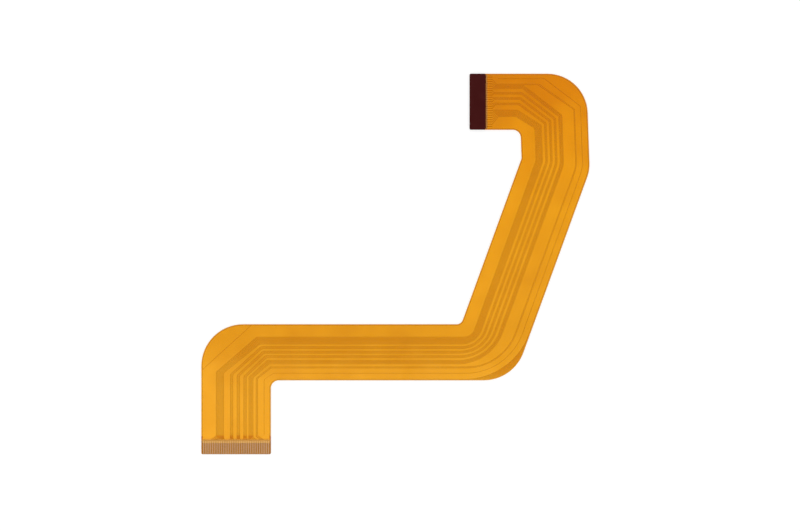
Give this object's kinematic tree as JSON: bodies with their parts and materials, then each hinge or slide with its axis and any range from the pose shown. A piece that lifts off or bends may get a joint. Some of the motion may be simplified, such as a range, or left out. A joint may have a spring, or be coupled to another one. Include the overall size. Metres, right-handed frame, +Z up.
{
  "type": "flat flex cable",
  "caption": "Flat flex cable of thin amber film with a bonded copper pattern, bent in its plane through four corners, with a stiffened plug-in contact tail at each end.",
  "frame": {"origin": "on the surface that the cable lies on, under the middle of its outline", "axes": "+Z up out of the coverlay side; the lower tail points to -Y and the upper tail to -X"},
  "size_m": [0.0866, 0.085, 0.0006],
  "materials": {
    "base_film": "clear amber polyimide film, satin",
    "coverlay_film": "clear amber polyimide film with adhesive, satin",
    "clear_stiffener": "thick amber polyimide, brown through its depth",
    "dark_stiffener": "thick polyimide of a dark maroon, satin",
    "copper": "rolled copper, plated pale gold at the bare contacts"
  },
  "bodies": {
    "root": {"base_film": "base_film", "control_trace_1": "copper", "control_trace_2": "copper", "control_trace_3": "copper", "corner_copper": "copper", "coverlay_film": "coverlay_film", "guard_strip_1": "copper", "guard_strip_2": "copper", "guard_strip_3": "copper", "guard_strip_4": "copper", "left_ground_strip": "copper", "lower_stiffener": "clear_stiffener", "pair_1_trace_a": "copper", "pair_1_trace_b": "copper", "pair_2_trace_a": "copper", "pair_2_trace_b": "copper", "pair_3_trace_a": "copper", "pair_3_trace_b": "copper", "right_ground_strip": "copper", "sense_trace": "copper", "signal_trace_1": "copper", "signal_trace_2": "copper", "signal_trace_3": "copper", "signal_trace_4": "copper", "signal_trace_5": "copper", "signal_trace_6": "copper", "supply_strip": "copper", "upper_stiffener": "dark_stiffener"}
  },
  "joints": []
}
